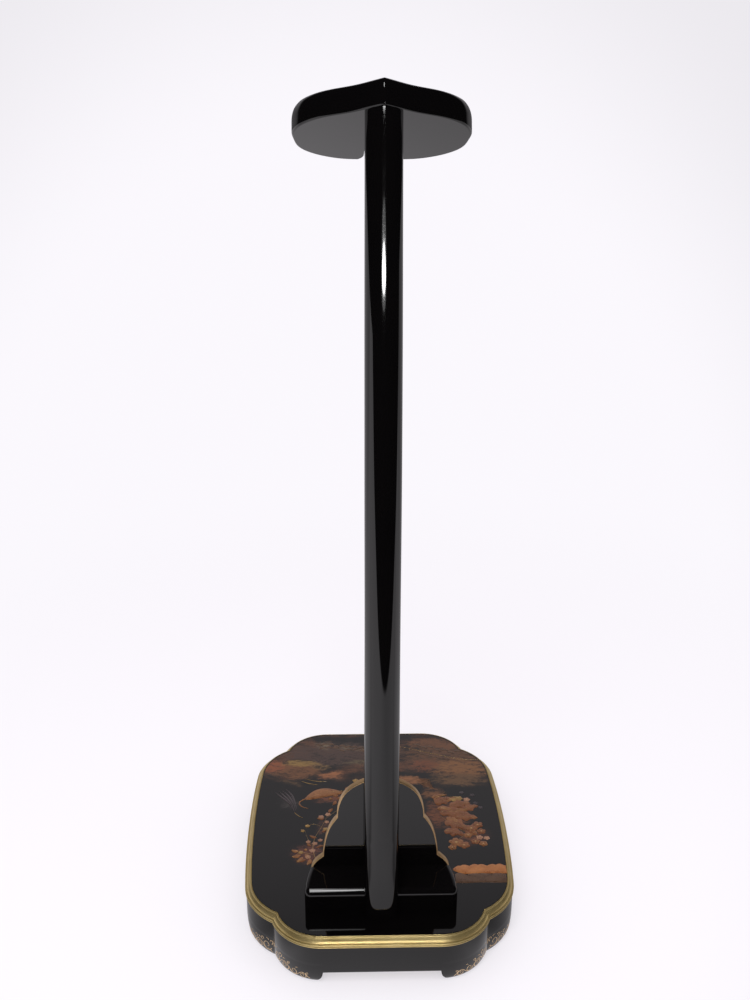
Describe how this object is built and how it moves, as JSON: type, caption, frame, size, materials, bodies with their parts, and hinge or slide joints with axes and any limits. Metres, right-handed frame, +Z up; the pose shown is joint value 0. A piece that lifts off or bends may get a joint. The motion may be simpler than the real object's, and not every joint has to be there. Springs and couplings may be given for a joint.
{
  "type": "shamisen floor stand",
  "caption": "Black lacquered stand that holds a long-necked lute upright: cusped base on scroll feet, lobed rest board, round column and a tilted head plate with a neck notch.",
  "frame": {"origin": "on the floor under the middle of the base", "axes": "+Z up, +Y to the front where the instrument stands, +X to the right seen from behind"},
  "size_m": [0.2438, 0.3088, 0.7099],
  "materials": {
    "black_lacquer": "mirror-polished black urushi lacquer over wood",
    "gold_lacquer": "gold powder lacquer, softly polished",
    "bare_wood": "bare planed hardwood",
    "screw_brass": "plain brass wood screws"
  },
  "bodies": {
    "root": {"base_panel": "black_lacquer", "rim_left": "gold_lacquer", "rim_right": "gold_lacquer", "rim_rear": "gold_lacquer", "rim_front": "gold_lacquer", "apron_left": "black_lacquer", "apron_right": "black_lacquer", "apron_rear": "black_lacquer", "apron_front": "black_lacquer", "foot_rear_left": "black_lacquer", "foot_rear_right": "black_lacquer", "foot_front_left": "black_lacquer", "foot_front_right": "black_lacquer", "corner_blocks": "bare_wood", "socket_batten": "bare_wood", "socket_block": "black_lacquer", "back_board": "black_lacquer", "column": "black_lacquer", "head_plate": "black_lacquer", "foot_wedge": "bare_wood", "head_wedge": "bare_wood", "board_dowels": "bare_wood", "block_screws": "screw_brass", "batten_screws": "screw_brass"}
  },
  "joints": []
}
